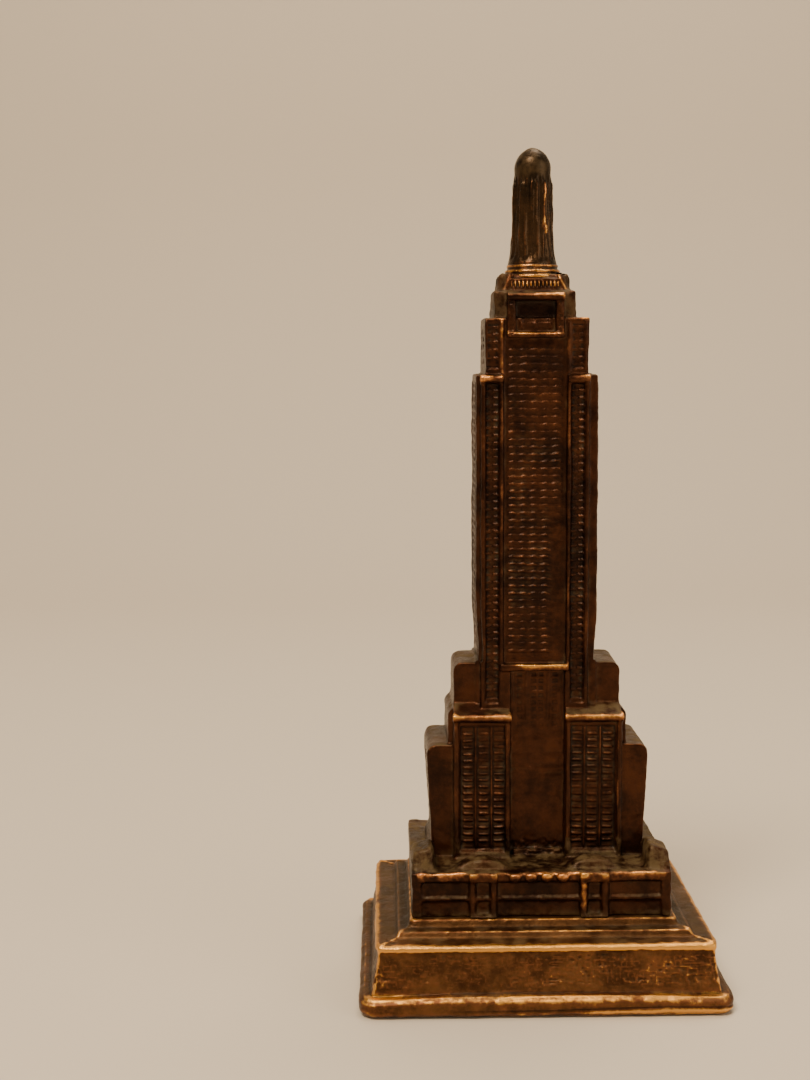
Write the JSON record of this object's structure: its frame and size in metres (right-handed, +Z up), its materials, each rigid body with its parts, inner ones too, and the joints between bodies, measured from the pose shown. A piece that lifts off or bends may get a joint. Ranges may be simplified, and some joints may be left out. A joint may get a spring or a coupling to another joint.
{
  "type": "miniature tower building",
  "caption": "Desk souvenir of a stepped tower building: a hollow cast tower with a mast, screwed to a cast plinth with a felt pad underneath.",
  "frame": {"origin": "centre of the footprint on the table, at the underside of the felt pad", "axes": "+Z up the tower, -Y out of the front face that carries the porches, +X to the right seen from the front"},
  "size_m": [0.07, 0.057, 0.1603],
  "materials": {
    "plinth_metal": "copper plated, brown antique patina, edges worn bright",
    "tower_metal": "copper plated, dark brown antique patina with grey-green grime on the ledges",
    "mast_metal": "copper plated, dark patina",
    "steel": "zinc plated, dull",
    "card": "grey-brown chipboard",
    "felt": "dark green-black wool felt"
  },
  "bodies": {
    "root": {"plinth_casting": "plinth_metal", "tower_casting": "tower_metal", "mast_casting": "mast_metal", "tie_screws": "steel", "tie_washers": "steel", "base_card": "card", "felt_pad": "felt"}
  },
  "joints": []
}
